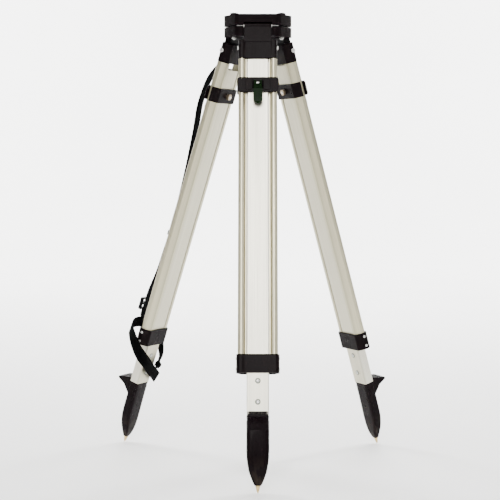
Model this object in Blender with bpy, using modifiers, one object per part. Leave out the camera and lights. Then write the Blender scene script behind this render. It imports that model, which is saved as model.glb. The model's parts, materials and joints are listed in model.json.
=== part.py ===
"""Surveyor's tripod: a flat-topped head on three collapsible aluminium legs.

Metres, +Z up. The tripod stands on its three points at z = 0, each leg closed to its shortest
length. Every leg is drawn once in its own frame and placed three times:

    leg frame   origin on the leg's hinge axis, +X along the axis (across the leg),
                -Y away from the middle of the tripod, -Z down the leg
"""
import math

import bmesh
import bpy
from mathutils import Matrix, Vector

# ---------------------------------------------------------------- driving dimensions
HEAD_TOP = 1.020          # height of the instrument seat above the ground
HINGE_DROP = 0.0257       # hinge axes below the seat
HINGE_RADIUS = 0.054      # hinge axes from the middle of the head
CLOSED_LENGTH = 1.033     # hinge axis to foot point, leg pushed home
HEAD_OFFSET = (0.01544, 0.06661)   # middle of the head from the middle of the footprint

# name: direction around the head, lean from the vertical (degrees)
LEGS = {"front": (0.0, 16.65), "right": (120.0, 16.80), "left": (-120.0, 19.00)}

GAP = 0.0003              # between pieces that touch
CLEARANCE = 0.0004        # between pieces that slide

# head castings
HEAD_SIDE = 0.063         # centre to the sides over the legs
HEAD_CORNER = 0.0735      # centre to the three corners between them
HEAD_ROUND = 0.014
SEAT_THICKNESS = 0.0243
RETAINER_TOP = 0.0272     # below the seat
RETAINER_BOTTOM = 0.0490
HEAD_HOLE = 0.030
CORNER_BOSS = 0.062       # centre to the raised corner bosses
BOSS_HEIGHT = 0.0046
ARM_PIVOT_Y = 0.0425      # centring arm's pivot, under the rear corner
ARM_TOP = -0.0495
ARM_BOTTOM = -0.0545
SLOT_HALF = 0.0084        # half width of the slot in the arm
PIN_RADIUS = 0.004
PIN_HALF = 0.047
KNUCKLE_RADIUS = 0.007
KNUCKLE_HALF = 0.0305

# leg section, in the leg frame
FACE_Y = -0.005           # crown of the rails
BACK_Y = 0.021            # back of the rails
RAIL_INNER = 0.0239
RAIL_OUTER = 0.0430
RAIL_BACK = 0.0335        # half width across the backs of the rails
TUBE_HALF = 0.0234
TUBE_FRONT = -0.0035
TUBE_BACK = 0.0200
TUBE_WALL = 0.0018

# stations down the leg from the hinge axis
SHOULDER = 0.034
BLOCK_END = 0.0785
RAIL_TOP = 0.0789
RAIL_END = 0.7800
TUBE_TOP = 0.0805
SLEEVE_TOP = 0.7438
SLEEVE_END = 0.7838
SLEEVE_WALL = 0.0026
CLAMP_TOP = 0.1247
CLAMP_END = 0.1588
CLAMP_BOLT = 0.1415
BLOCK_BOLT = 0.0528
FOOT_TOP = 0.8735
FOOT_END = 1.0180
FOOT_SCREWS = (0.8005, 0.8450)
POINT_Y = 0.015

# clamp
PLATE_FRONT = -0.0090
PLATE_BACK = -0.0054
LEVER_PIVOT_Y = -0.0165
LEVER_HALF = 0.0085
CAM_RADIUS = 0.0070
LEVER_LENGTH = 0.0480
SADDLE_WALL = 0.0028
POINT_NOSE = 0.0018       # radius of the blunt end of a foot point

COLLECTION = "surveyor_tripod"


# ---------------------------------------------------------------- scene helpers
def clear_scene():
    for item in list(bpy.data.objects):
        bpy.data.objects.remove(item, do_unlink=True)


def collection(name):
    group = bpy.data.collections.new(name)
    bpy.context.scene.collection.children.link(group)
    return group


def material(name, colour, roughness, metallic=0.0):
    finish = bpy.data.materials.new(name)
    finish.use_nodes = True
    shader = finish.node_tree.nodes["Principled BSDF"]
    shader.inputs["Base Color"].default_value = (*colour, 1.0)
    shader.inputs["Roughness"].default_value = roughness
    shader.inputs["Metallic"].default_value = metallic
    return finish


def scratch(name, mesh):
    """An object that only lives while a shape is being made."""
    item = bpy.data.objects.new(name, mesh)
    bpy.context.scene.collection.objects.link(item)
    return item


def mesh_from_bmesh(name, bm):
    bmesh.ops.recalc_face_normals(bm, faces=bm.faces)
    mesh = bpy.data.meshes.new(name)
    bm.to_mesh(mesh)
    bm.free()
    return mesh


def box_mesh(name, low, high):
    bm = bmesh.new()
    bmesh.ops.create_cube(bm, size=1.0)
    size = Vector(high) - Vector(low)
    middle = (Vector(high) + Vector(low)) / 2
    bmesh.ops.transform(bm, verts=bm.verts, matrix=Matrix.Translation(middle) @ Matrix.Diagonal((*size, 1.0)))
    return mesh_from_bmesh(name, bm)


def rod_mesh(name, start, end, radius, end_radius=None, sides=16):
    """A cylinder or a truncated cone from start to end."""
    start, end = Vector(start), Vector(end)
    axis = end - start
    turn = axis.to_track_quat("Z", "Y").to_matrix().to_4x4()
    bm = bmesh.new()
    bmesh.ops.create_cone(bm, cap_ends=True, segments=sides, radius1=radius,
                          radius2=radius if end_radius is None else end_radius, depth=axis.length,
                          matrix=Matrix.Translation((start + end) / 2) @ turn)
    return mesh_from_bmesh(name, bm)


def outline_mesh(name, loops, low, high, matrix=None):
    """Flat closed outlines in XY, filled and extruded from low to high along Z."""
    curve = bpy.data.curves.new(name, "CURVE")
    curve.dimensions = "2D"
    curve.fill_mode = "BOTH"
    curve.extrude = (high - low) / 2
    for loop in loops:
        spline = curve.splines.new("POLY")
        spline.points.add(len(loop) - 1)
        for point, (x, y) in zip(spline.points, loop):
            point.co = (x, y, 0.0, 1.0)
        spline.use_cyclic_u = True
    item = scratch(name, curve)
    mesh = evaluated(item)
    bm = bmesh.new()
    bm.from_mesh(mesh)
    bmesh.ops.remove_doubles(bm, verts=bm.verts, dist=1e-6)
    bmesh.ops.translate(bm, verts=bm.verts, vec=(0.0, 0.0, (high + low) / 2))
    if matrix is not None:
        bmesh.ops.transform(bm, verts=bm.verts, matrix=matrix)
    return mesh_from_bmesh(name, bm)


def turned_mesh(name, profile, matrix, steps):
    """A turned piece about Z from (radius, z) points that run down its outer side."""
    bm = bmesh.new()
    verts = [bm.verts.new((radius, 0.0, z)) for radius, z in profile]
    for first, second in zip(verts, verts[1:]):
        bm.edges.new((first, second))
    mesh = bpy.data.meshes.new(name)
    bm.to_mesh(mesh)
    bm.free()
    item = scratch(name, mesh)
    screw = item.modifiers.new("turn", "SCREW")
    screw.axis = "Z"
    screw.steps = steps
    screw.render_steps = steps
    screw.use_merge_vertices = True
    screw.merge_threshold = 1e-5
    turned = evaluated(item)
    if matrix is not None:
        turned.transform(matrix)
    return turned


def evaluated(item):
    """The mesh that an object's modifiers make of it; the object is then dropped."""
    graph = bpy.context.evaluated_depsgraph_get()
    mesh = bpy.data.meshes.new_from_object(item.evaluated_get(graph))
    bpy.data.objects.remove(item, do_unlink=True)
    return mesh


def combined(mesh, operation, others):
    """A mesh joined with, or cut by, the others in turn."""
    for number, other in enumerate(others):
        item = scratch("work", mesh)
        tool = scratch("tool", other)
        step = item.modifiers.new(f"{operation}_{number}", "BOOLEAN")
        step.operation = operation
        step.solver = "EXACT"
        step.object = tool
        mesh = evaluated(item)
        bpy.data.objects.remove(tool, do_unlink=True)
    return mesh


def bevelled(mesh, width, segments=1, angle=40.0):
    item = scratch("work", mesh)
    step = item.modifiers.new("edges", "BEVEL")
    step.width = width
    step.segments = segments
    step.limit_method = "ANGLE"
    step.angle_limit = math.radians(angle)
    step.use_clamp_overlap = True
    return evaluated(item)


def thickened(mesh, thickness, side):
    """An open or ring-shaped sheet given a wall; side 1 grows along its normals, -1 against them."""
    item = scratch("work", mesh)
    step = item.modifiers.new("wall", "SOLIDIFY")
    step.thickness = thickness
    step.offset = side
    step.use_even_offset = True
    return evaluated(item)


def band_mesh(name, points, low, high, thickness, closed):
    """A wall along a flat path in XY, from low to high, growing away from the path's inner side."""
    bm = bmesh.new()
    verts = [bm.verts.new((x, y, low)) for x, y in points]
    edges = [bm.edges.new(pair) for pair in zip(verts, verts[1:])]
    if closed:
        edges.append(bm.edges.new((verts[-1], verts[0])))
    raised = bmesh.ops.extrude_edge_only(bm, edges=edges)["geom"]
    lifted = [item for item in raised if isinstance(item, bmesh.types.BMVert)]
    bmesh.ops.translate(bm, verts=lifted, vec=(0.0, 0.0, high - low))
    bmesh.ops.recalc_face_normals(bm, faces=bm.faces)
    mesh = bpy.data.meshes.new(name)
    middle = Vector((0.0, (FACE_Y + BACK_Y) / 2, 0.0))
    first = bm.faces[:][0] if bm.faces else None
    outward = (first.calc_center_median() - middle)
    outward.z = 0.0
    if first.normal.dot(outward) < 0:
        bmesh.ops.reverse_faces(bm, faces=bm.faces)
    bm.to_mesh(mesh)
    bm.free()
    return thickened(mesh, thickness, 1.0)


def mirrored(points):
    """A half outline with x >= 0 and its mirror image, as one closed loop."""
    return points + [(-x, y) for x, y in reversed(points)]


def rounded_polygon(corners, radius, steps=4):
    """Corners of a convex polygon replaced by arcs of one radius."""
    loop = []
    count = len(corners)
    for index in range(count):
        corner = Vector(corners[index])
        before = (Vector(corners[index - 1]) - corner).normalized()
        after = (Vector(corners[(index + 1) % count]) - corner).normalized()
        half = before.angle(after) / 2
        centre = corner + (before + after).normalized() * (radius / math.sin(half))
        start = corner + before * (radius / math.tan(half)) - centre
        sweep = (corner + after * (radius / math.tan(half)) - centre)
        turn = start.angle_signed(sweep)
        for step in range(steps + 1):
            angle = -turn * step / steps
            x = start.x * math.cos(angle) - start.y * math.sin(angle)
            y = start.x * math.sin(angle) + start.y * math.cos(angle)
            loop.append((centre.x + x, centre.y + y))
    return loop


# ---------------------------------------------------------------- leg outlines
def arc(centre, radius_x, radius_y, start, end, steps):
    turn = (end - start) / steps
    angles = [math.radians(start + turn * step) for step in range(steps + 1)]
    return [(centre[0] + radius_x * math.cos(a), centre[1] + radius_y * math.sin(a)) for a in angles]


def rail_outline(inset=0.0):
    """One rail: flat back, slanted outer side, rounded crown, and a lip beside the tube."""
    crown = arc((0.0353, 0.0028), 0.0077 - inset, 0.0078 - inset, 0.0, -150.0, 7)
    lip = [(0.0276 + inset, 0.0006 + inset), (RAIL_INNER + inset, 0.0006 + inset)]
    back = [(RAIL_INNER + inset, BACK_Y - inset), (RAIL_BACK - 0.5 * inset, BACK_Y - inset),
            (RAIL_OUTER - inset, 0.008 - 0.4 * inset)]
    return crown + lip + back


def leg_outline():
    """Half of the line that just clears the whole closed section, from the crown side round."""
    return [(0.0265, -0.00395), (0.0315, -0.00545), (0.0385, -0.0052), (0.0420, -0.0025),
            (0.0434, 0.0015), (0.0434, 0.0082), (0.0338, 0.0214)]


def radial_bore(station, radius, low, high):
    return rod_mesh("bore", (0.0, low, -station), (0.0, high, -station), radius, sides=10)


# turns an outline drawn as (outward depth, height) into one that runs across the leg
SIDEWAYS = Matrix(((0, 0, 1, 0), (1, 0, 0, 0), (0, 1, 0, 0), (0, 0, 0, 1)))


# ---------------------------------------------------------------- upper leg pieces
def rail(side):
    loops = [[(side * x, y) for x, y in rail_outline()],
             [(side * x, y) for x, y in rail_outline(TUBE_WALL)]]
    return outline_mesh("rail", loops, -RAIL_END, -RAIL_TOP)


def hinge_block():
    """The casting at the top of a leg: knuckle, neck, body and a tang into each rail."""
    body = outline_mesh("block", [mirrored(leg_outline())], -BLOCK_END, -SHOULDER)
    body = bevelled(body, 0.0018, 1, 60.0)
    neck = box_mesh("neck", (-KNUCKLE_HALF, -0.0055, -SHOULDER - 0.006), (KNUCKLE_HALF, 0.010, -0.0002))
    knuckle = rod_mesh("knuckle", (-KNUCKLE_HALF, 0.0, 0.0), (KNUCKLE_HALF, 0.0, 0.0), KNUCKLE_RADIUS)
    tangs = [box_mesh("tang", (min(x), 0.005, -0.112), (max(x), 0.016, -BLOCK_END + 0.004))
             for x in ((0.0270, 0.0330), (-0.0330, -0.0270))]
    block = combined(body, "UNION", [neck, knuckle, *tangs])
    pin_bore = rod_mesh("bore", (-0.04, 0.0, 0.0), (0.04, 0.0, 0.0), PIN_RADIUS + CLEARANCE)
    cross_bore = rod_mesh("bore", (-0.05, 0.001, -BLOCK_BOLT), (0.05, 0.001, -BLOCK_BOLT), 0.0033, sides=12)
    return combined(block, "DIFFERENCE", [pin_bore, cross_bore])


def double_headed(length, radius, head_radius, head_depth, matrix):
    """A barrel screw: a plain shank with a low domed head at each end."""
    half = length / 2
    edge = 0.5 * head_depth
    profile = [(0.0, half + head_depth), (0.75 * head_radius, half + head_depth),
               (head_radius, half + edge), (head_radius, half), (radius, half),
               (radius, -half), (head_radius, -half), (head_radius, -half - edge),
               (0.75 * head_radius, -half - head_depth), (0.0, -half - head_depth)]
    return turned_mesh("bolt", profile, matrix, 12)


def block_bolt():
    along_x = Matrix.Translation((0.0, 0.001, -BLOCK_BOLT)) @ Matrix.Rotation(math.radians(90), 4, "Y")
    return double_headed(2 * (0.0434 + GAP), 0.003, 0.005, 0.0022, along_x)


def hinge_pin():
    return rod_mesh("pin", (-PIN_HALF, 0.0, 0.0), (PIN_HALF, 0.0, 0.0), PIN_RADIUS)


def sleeve():
    """The collar that ties the rails together and guides the tube."""
    return band_mesh("sleeve", mirrored(leg_outline()), -SLEEVE_END, -SLEEVE_TOP, SLEEVE_WALL, True)


# ---------------------------------------------------------------- sliding leg pieces
def tube():
    middle = (TUBE_FRONT + TUBE_BACK) / 2
    depth = (TUBE_BACK - TUBE_FRONT) / 2

    def rectangle(inset, radius):
        x, y = TUBE_HALF - inset, depth - inset
        corners = [(-x, middle - y), (x, middle - y), (x, middle + y), (-x, middle + y)]
        return rounded_polygon(corners, radius, 2)

    walls = outline_mesh("tube", [rectangle(0.0, 0.0016), rectangle(TUBE_WALL, 0.0006)],
                         -FOOT_TOP + GAP, -TUBE_TOP)
    stations = (CLAMP_BOLT, *FOOT_SCREWS)
    return combined(walls, "DIFFERENCE", [radial_bore(at, 0.0033, -0.02, 0.04) for at in stations])


def clamp_plate():
    """The outer jaw: a rounded plate with two ears that flank the lever."""
    half_height = (CLAMP_END - CLAMP_TOP) / 2
    corners = [(-0.046, -half_height), (0.046, -half_height), (0.046, half_height), (-0.046, half_height)]
    stand = Matrix.Translation((0.0, 0.0, -(CLAMP_TOP + CLAMP_END) / 2)) @ Matrix.Rotation(math.radians(90), 4, "X")
    plate = outline_mesh("plate", [rounded_polygon(corners, 0.006, 3)], -PLATE_BACK, -PLATE_FRONT, stand)
    ears = [box_mesh("ear", (min(x), -0.0165, -0.1500), (max(x), PLATE_BACK - 0.001, -0.1335))
            for x in ((0.0093, 0.0113), (-0.0113, -0.0093))]
    plate = combined(plate, "UNION", ears)
    return combined(plate, "DIFFERENCE", [radial_bore(CLAMP_BOLT, 0.0034, -0.02, 0.0)])


def clamp_saddle():
    """The inner jaw, bent round the backs of the rails."""
    half = [(0.0435, 0.0045), (0.0435, 0.0083), (0.0339, 0.0215)]
    path = half + [(-x, y) for x, y in reversed(half)]
    jaw = band_mesh("saddle", path, -CLAMP_END, -CLAMP_TOP, SADDLE_WALL, False)
    return combined(jaw, "DIFFERENCE", [radial_bore(CLAMP_BOLT, 0.0034, 0.015, 0.035)])


def clamp_bolt():
    """The cross-headed bolt through both jaws; the lever turns on its head."""
    shank = rod_mesh("shank", (0.0, LEVER_PIVOT_Y, -CLAMP_BOLT), (0.0, 0.0335, -CLAMP_BOLT), 0.0030, sides=12)
    head = rod_mesh("head", (-0.0082, LEVER_PIVOT_Y, -CLAMP_BOLT), (0.0082, LEVER_PIVOT_Y, -CLAMP_BOLT), 0.0032,
                    sides=12)
    return combined(head, "UNION", [shank])


def clamp_nut():
    nut = rod_mesh("nut", (0.0, 0.0246, -CLAMP_BOLT), (0.0, 0.0316, -CLAMP_BOLT), 0.0075, sides=6)
    return combined(nut, "DIFFERENCE", [radial_bore(CLAMP_BOLT, 0.0034, 0.020, 0.040)])


def clamp_lever():
    """Drawn about its pivot: a round cam, a thin neck and a thick grip that hangs down the leg."""
    profile = arc((0.0, 0.0), CAM_RADIUS, CAM_RADIUS, -50.0, 220.0, 12)
    profile += [(-0.0052, -0.0120), (-0.0056, -0.0290), (-0.0062, -0.0340), (-0.0060, -0.0450),
                (-0.0040, -LEVER_LENGTH), (0.0022, -LEVER_LENGTH), (0.0048, -0.0455),
                (0.0050, -0.0350), (0.0030, -0.0310), (-0.0012, -0.0280), (-0.0010, -0.0120)]
    lever = outline_mesh("lever", [profile], -LEVER_HALF, LEVER_HALF, SIDEWAYS)
    slot = box_mesh("slot", (-0.0035, -0.02, -0.0040), (0.0035, 0.02, 0.02))
    bore = rod_mesh("bore", (-0.02, 0.0, 0.0), (0.02, 0.0, 0.0), 0.0036)
    return combined(lever, "DIFFERENCE", [slot, bore])


def foot():
    """The shoe: a box drawn in towards its point, with a spigot up the tube and a step to tread on."""
    sections = [(FOOT_TOP, 0.0238, -0.0039, 0.0204), (0.905, 0.0238, -0.0039, 0.0212),
                (0.940, 0.0238, -0.0036, 0.0220), (0.9606, 0.0236, -0.0028, 0.0226),
                (0.977, 0.0212, -0.0008, 0.0236), (0.990, 0.0186, 0.0020, 0.0240),
                (1.0017, 0.0145, 0.0056, 0.0236), (1.014, 0.0092, 0.0094, 0.0212),
                (FOOT_END, 0.0064, 0.0110, 0.0194)]
    bm = bmesh.new()
    bmesh.ops.create_cube(bm, size=1.0)
    bmesh.ops.translate(bm, verts=bm.verts, vec=(0.0, 0.0, -0.5))
    for step in range(1, len(sections) - 1):
        height = -step / (len(sections) - 1)
        bmesh.ops.bisect_plane(bm, geom=bm.verts[:] + bm.edges[:] + bm.faces[:],
                               plane_co=(0.0, 0.0, height), plane_no=(0.0, 0.0, 1.0))
    for vert in bm.verts:
        station, half, front, back = sections[round(-vert.co.z * (len(sections) - 1))]
        vert.co = (2 * half * vert.co.x, front if vert.co.y < 0 else back, -station)
    shell = bevelled(mesh_from_bmesh("foot", bm), 0.0030, 2, 60.0)
    spigot = box_mesh("spigot", (-0.0209, -0.0011, -FOOT_TOP - 0.02), (0.0209, 0.0176, -0.7930))
    step = [(-0.0390, -0.8750), (-0.0395, -0.8800), (-0.0200, -0.8880), (-0.0020, -0.9060),
            (0.0050, -0.9060), (0.0050, -FOOT_TOP - 0.0008), (-0.0036, -FOOT_TOP - 0.0008), (-0.0055, -0.8650)]
    pedal = outline_mesh("pedal", [step], -0.0225, 0.0225, SIDEWAYS)
    shoe = combined(shell, "UNION", [spigot, pedal])
    bores = [radial_bore(at, 0.0033, -0.01, 0.03) for at in FOOT_SCREWS]
    point_bore = rod_mesh("bore", (0.0, POINT_Y, -FOOT_END - 0.01), (0.0, POINT_Y, -FOOT_END + 0.016), 0.0033)
    return combined(shoe, "DIFFERENCE", bores + [point_bore])


def foot_screw(station):
    middle = (TUBE_FRONT + TUBE_BACK) / 2
    along_y = Matrix.Translation((0.0, middle, -station)) @ Matrix.Rotation(math.radians(90), 4, "X")
    return double_headed(TUBE_BACK - TUBE_FRONT + 2 * GAP, 0.003, 0.0060, 0.0022, along_y)


def foot_point():
    """The brass point and the shank that holds it in the shoe."""
    nose = CLOSED_LENGTH - POINT_NOSE
    tip = [(POINT_NOSE * math.sin(math.radians(a)), -nose - POINT_NOSE * math.cos(math.radians(a)))
           for a in (70, 35, 0)]
    profile = [(0.0, -FOOT_END + 0.014), (0.003, -FOOT_END + 0.014), (0.003, -FOOT_END - GAP),
               (0.0052, -FOOT_END - GAP), (0.0052, -FOOT_END - 0.002)] + tip
    return turned_mesh("point", profile, Matrix.Translation((0.0, POINT_Y, 0.0)), 12)


# ---------------------------------------------------------------- head pieces
def head_outline():
    """Three long sides over the legs and three short ones at the corners between them."""
    corners = []
    for turn in (0, 120, 240):
        for sign in (-1, 1):
            x = sign * (HEAD_CORNER - 0.5 * HEAD_SIDE) / math.cos(math.radians(30))
            point = Matrix.Rotation(math.radians(turn), 2) @ Vector((x, -HEAD_SIDE))
            corners.append(tuple(point))
    return rounded_polygon(corners, HEAD_ROUND, 3)


def round_outline(radius, sides=28):
    return arc((0.0, 0.0), radius, radius, 0.0, 360.0 * (sides - 1) / sides, sides - 1)


def around(turn):
    return Matrix.Rotation(math.radians(turn), 4, "Z")


def corner_place(turn, radius):
    """A point on the line to a corner of the head; turn 60 lies between the front and right legs."""
    angle = math.radians(turn)
    return Vector((radius * math.sin(angle), -radius * math.cos(angle), 0.0))


CORNERS = (60, 180, 300)


def knuckle_slots(low, high):
    """The three openings that a leg's neck swings in."""
    slots = []
    for direction, _ in LEGS.values():
        slot = box_mesh("slot", (-0.0318, -0.09, low), (0.0318, -0.0365, high))
        slot.transform(around(direction))
        slots.append(slot)
    return slots


def pin_bores():
    bores = []
    for direction, _ in LEGS.values():
        bore = rod_mesh("bore", (-PIN_HALF - GAP, -HINGE_RADIUS, -HINGE_DROP),
                        (PIN_HALF + GAP, -HINGE_RADIUS, -HINGE_DROP), PIN_RADIUS + GAP)
        bore.transform(around(direction))
        bores.append(bore)
    return bores


def corner_bores():
    return [rod_mesh("bore", corner_place(turn, CORNER_BOSS) + Vector((0, 0, -0.06)),
                     corner_place(turn, CORNER_BOSS) + Vector((0, 0, 0.01)), 0.0033, sides=12) for turn in CORNERS]


def head_plate():
    """The upper casting; its origin is the middle of the instrument seat."""
    plate = outline_mesh("plate", [head_outline(), round_outline(HEAD_HOLE)], -SEAT_THICKNESS, 0.0)
    bosses = [rod_mesh("boss", corner_place(turn, CORNER_BOSS - 0.0006) + Vector((0, 0, -0.002)),
                       corner_place(turn, CORNER_BOSS - 0.0006) + Vector((0, 0, BOSS_HEIGHT)), 0.0112, 0.0088, 16)
              for turn in CORNERS]
    plate = combined(plate, "UNION", bosses)
    cuts = knuckle_slots(-0.05, -HINGE_DROP + KNUCKLE_RADIUS + 0.0006) + pin_bores() + corner_bores()
    return combined(plate, "DIFFERENCE", cuts)


def hinge_retainer():
    """The lower casting that holds the ends of the pins up against the head plate."""
    ring = outline_mesh("retainer", [head_outline(), round_outline(HEAD_HOLE + 0.001)],
                        -RETAINER_BOTTOM, -RETAINER_TOP)
    arm_bore = rod_mesh("bore", (0.0, ARM_PIVOT_Y, -0.06), (0.0, ARM_PIVOT_Y, -0.0297), 0.0033, sides=12)
    cuts = knuckle_slots(-0.06, 0.0) + pin_bores() + corner_bores() + [arm_bore]
    return combined(ring, "DIFFERENCE", cuts)


def corner_screw(turn):
    """The clamping screw through a corner of the head, nut and all."""
    top = BOSS_HEIGHT + GAP
    low = -RETAINER_BOTTOM - GAP
    profile = [(0.0, top + 0.0012), (0.0045, top + 0.0009), (0.0048, top), (0.003, top), (0.003, low),
               (0.0052, low), (0.0052, low - 0.004), (0.003, low - 0.004), (0.003, low - 0.006),
               (0.0, low - 0.006)]
    return turned_mesh("screw", profile, Matrix.Translation(corner_place(turn, CORNER_BOSS)), 12)


def centring_arm():
    """Drawn about its pivot under the rear corner; the slot lets the screw slide towards any edge."""
    reach = -0.0640
    outline = arc((0.0, 0.0), 0.0100, 0.0100, 0.0, 180.0, 6) + [(-0.0125, -0.0200)]
    outline += arc((0.0, reach + 0.0125), 0.0125, 0.0125, 180.0, 360.0, 6) + [(0.0125, -0.0200)]
    slot = arc((0.0, -ARM_PIVOT_Y + 0.0125), SLOT_HALF, SLOT_HALF, 0.0, 180.0, 6)
    slot += arc((0.0, -ARM_PIVOT_Y - 0.0125), SLOT_HALF, SLOT_HALF, 180.0, 360.0, 6)
    arm = outline_mesh("arm", [outline, slot], ARM_BOTTOM, ARM_TOP)
    bore = rod_mesh("bore", (0, 0, ARM_BOTTOM - 0.01), (0, 0, ARM_TOP + 0.01), 0.0033, sides=12)
    return combined(arm, "DIFFERENCE", [bore])


def arm_pivot():
    profile = [(0.0, -0.0300), (0.003, -0.0300), (0.003, ARM_BOTTOM - GAP), (0.0058, ARM_BOTTOM - GAP),
               (0.0058, ARM_BOTTOM - 0.0028), (0.0, ARM_BOTTOM - 0.0032)]
    return turned_mesh("pivot", profile, None, 12)


def screw_bush():
    """The flanged bush that slides along the arm and carries the centring screw."""
    flange = rod_mesh("flange", (0.0, 0.0, ARM_TOP + GAP), (0.0, 0.0, ARM_TOP + 0.0034), 0.0112, sides=20)
    barrel = rod_mesh("barrel", (0.0, 0.0, ARM_BOTTOM), (0.0, 0.0, ARM_TOP + 0.0020), SLOT_HALF - GAP, sides=20)
    bore = rod_mesh("bore", (0.0, 0.0, ARM_BOTTOM - 0.01), (0.0, 0.0, ARM_TOP + 0.01), 0.0054, sides=16)
    return combined(combined(flange, "UNION", [barrel]), "DIFFERENCE", [bore])


def centring_screw():
    """The instrument screw: threaded top, neck through the bush, knob under the arm."""
    neck_top = ARM_TOP + 0.0034 + GAP
    neck_bottom = ARM_BOTTOM - GAP
    profile = [(0.0, -0.0010), (0.0070, -0.0010), (0.0079, -0.0020), (0.0079, neck_top), (0.0050, neck_top),
               (0.0050, neck_bottom), (0.0120, neck_bottom), (0.0128, neck_bottom - 0.0020),
               (0.0128, -0.0880), (0.0105, -0.0920), (0.0, -0.0920)]
    return turned_mesh("screw", profile, None, 20)


# ---------------------------------------------------------------- straps on the left leg
STRAP_THICKNESS = 0.0016
STRAP_X = -0.0270         # the carrying strap hangs beside the clamp lever
STRAP_HALF = 0.0120
LEG_CENTRE = Vector((0.0, 0.006, 0.0))


def smooth_path(points, per_span):
    """A Catmull-Rom curve through hand-placed points."""
    ends = [points[0] * 2 - points[1]] + points + [points[-1] * 2 - points[-2]]
    path = []
    for first, second, third, fourth in zip(ends, ends[1:], ends[2:], ends[3:]):
        for step in range(per_span):
            t = step / per_span
            path.append(0.5 * ((2 * second) + (third - first) * t
                               + (2 * first - 5 * second + 4 * third - fourth) * t * t
                               + (3 * second - first - 3 * third + fourth) * t ** 3))
    return path + [points[-1]]


def ribbon_mesh(name, path, sides):
    """Flat webbing along a path; sides gives half the width, as a vector, at each point of it."""
    bm = bmesh.new()
    bmesh.ops.create_grid(bm, x_segments=len(path) - 1, y_segments=1, size=1.0)
    for vert in bm.verts:
        index = round((vert.co.x + 1.0) / 2.0 * (len(path) - 1))
        vert.co = path[index] + sides[index] * (1.0 if vert.co.y > 0 else -1.0)
    return thickened(mesh_from_bmesh(name, bm), STRAP_THICKNESS, 0.0)


# (distance out from the hinge axis, distance down the leg) of the slack carrying strap
SHOULDER_ROUTE = [(0.0072, 0.052), (0.016, 0.068), (0.032, 0.090), (0.048, 0.120), (0.056, 0.155),
                  (0.058, 0.197), (0.053, 0.240), (0.047, 0.292), (0.042, 0.352), (0.038, 0.412),
                  (0.037, 0.480), (0.037, 0.540), (0.040, 0.610), (0.0475, 0.672), (0.0493, 0.708),
                  (0.0502, 0.733)]


def shoulder_strap():
    route = [Vector((STRAP_X, -out, -down)) for out, down in SHOULDER_ROUTE]
    path = smooth_path(route, 3)
    return ribbon_mesh("strap", path, [Vector((STRAP_HALF, 0.0, 0.0))] * len(path))


def strap_buckle():
    """The slide buckle that sits on the outside of the carrying strap."""
    frame = box_mesh("buckle", (STRAP_X - 0.0165, -0.0608, -0.7230), (STRAP_X + 0.0165, -0.0514, -0.6925))
    windows = [box_mesh("window", (STRAP_X - 0.0125, -0.07, -top - 0.009), (STRAP_X + 0.0125, -0.02, -top))
               for top in (0.6960, 0.7100)]
    return combined(bevelled(frame, 0.002, 2), "DIFFERENCE", windows)


# middle line of the binding strap: from the knot, up the far side, over the outside, round the
# near side and down across the inside to the free end
BINDING_ROUTE = [(-0.027, 0.0290, -0.835), (-0.042, 0.0220, -0.815), (-0.0505, 0.0060, -0.795),
                 (-0.0515, -0.0120, -0.775), (-0.0440, -0.0300, -0.759), (-0.0220, -0.0420, -0.752),
                 (0.0000, -0.0440, -0.750), (0.0220, -0.0410, -0.751), (0.0420, -0.0310, -0.757),
                 (0.0515, -0.0130, -0.772), (0.0530, 0.0050, -0.790), (0.0470, 0.0215, -0.807),
                 (0.0300, 0.0310, -0.824), (0.0060, 0.0325, -0.843), (-0.0180, 0.0315, -0.859),
                 (-0.0400, 0.0290, -0.874)]


def binding_strap():
    path = smooth_path([Vector(point) for point in BINDING_ROUTE], 2)
    sides = []
    for index, point in enumerate(path):
        along = path[min(index + 1, len(path) - 1)] - path[max(index - 1, 0)]
        outward = point - LEG_CENTRE
        outward.z = 0.0
        half = min(STRAP_HALF, 0.006 + 0.0012 * index)
        sides.append(along.cross(outward).normalized() * half)
    return ribbon_mesh("strap", path, sides)


# ---------------------------------------------------------------- assembly
class Tripod:
    """Places the pieces: the head, then a chain of empties down each leg."""

    def __init__(self):
        self.parts = collection(COLLECTION)
        self.finish = {
            "casting": material("black_casting", (0.012, 0.009, 0.010), 0.38),
            "aluminium": material("anodised_aluminium", (0.56, 0.54, 0.44), 0.34, 0.85),
            "steel": material("zinc_steel", (0.62, 0.60, 0.57), 0.30, 1.0),
            "brass": material("brass", (0.62, 0.44, 0.20), 0.32, 1.0),
            "lever": material("dark_green_lever", (0.006, 0.030, 0.008), 0.40),
            "shoe": material("glossy_black_shoe", (0.010, 0.007, 0.008), 0.22),
            "webbing": material("black_webbing", (0.006, 0.006, 0.006), 0.90),
            "buckle": material("black_buckle", (0.010, 0.010, 0.010), 0.35),
        }
        self.head = self.frame("head_frame", None, Matrix.Translation((*HEAD_OFFSET, HEAD_TOP)))

    def frame(self, name, parent, matrix):
        empty = bpy.data.objects.new(name, None)
        empty.empty_display_size = 0.02
        self.parts.objects.link(empty)
        empty.parent = parent
        empty.matrix_local = matrix
        return empty

    def piece(self, name, mesh, parent, finish, place=None):
        item = bpy.data.objects.new(name, mesh)
        self.parts.objects.link(item)
        item.parent = parent
        if place is not None:
            item.matrix_local = Matrix.Translation(place)
        if not mesh.materials:
            mesh.materials.append(self.finish[finish])
            mesh.shade_smooth()
            mesh.set_sharp_from_angle(angle=math.radians(35))
        return item


def standing_length(lean):
    """Hinge axis to foot point along a leg of this lean that reaches the ground."""
    angle = math.radians(lean)
    nose = HEAD_TOP - HINGE_DROP - POINT_NOSE - POINT_Y * math.sin(angle)
    return nose / math.cos(angle) + POINT_NOSE


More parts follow.
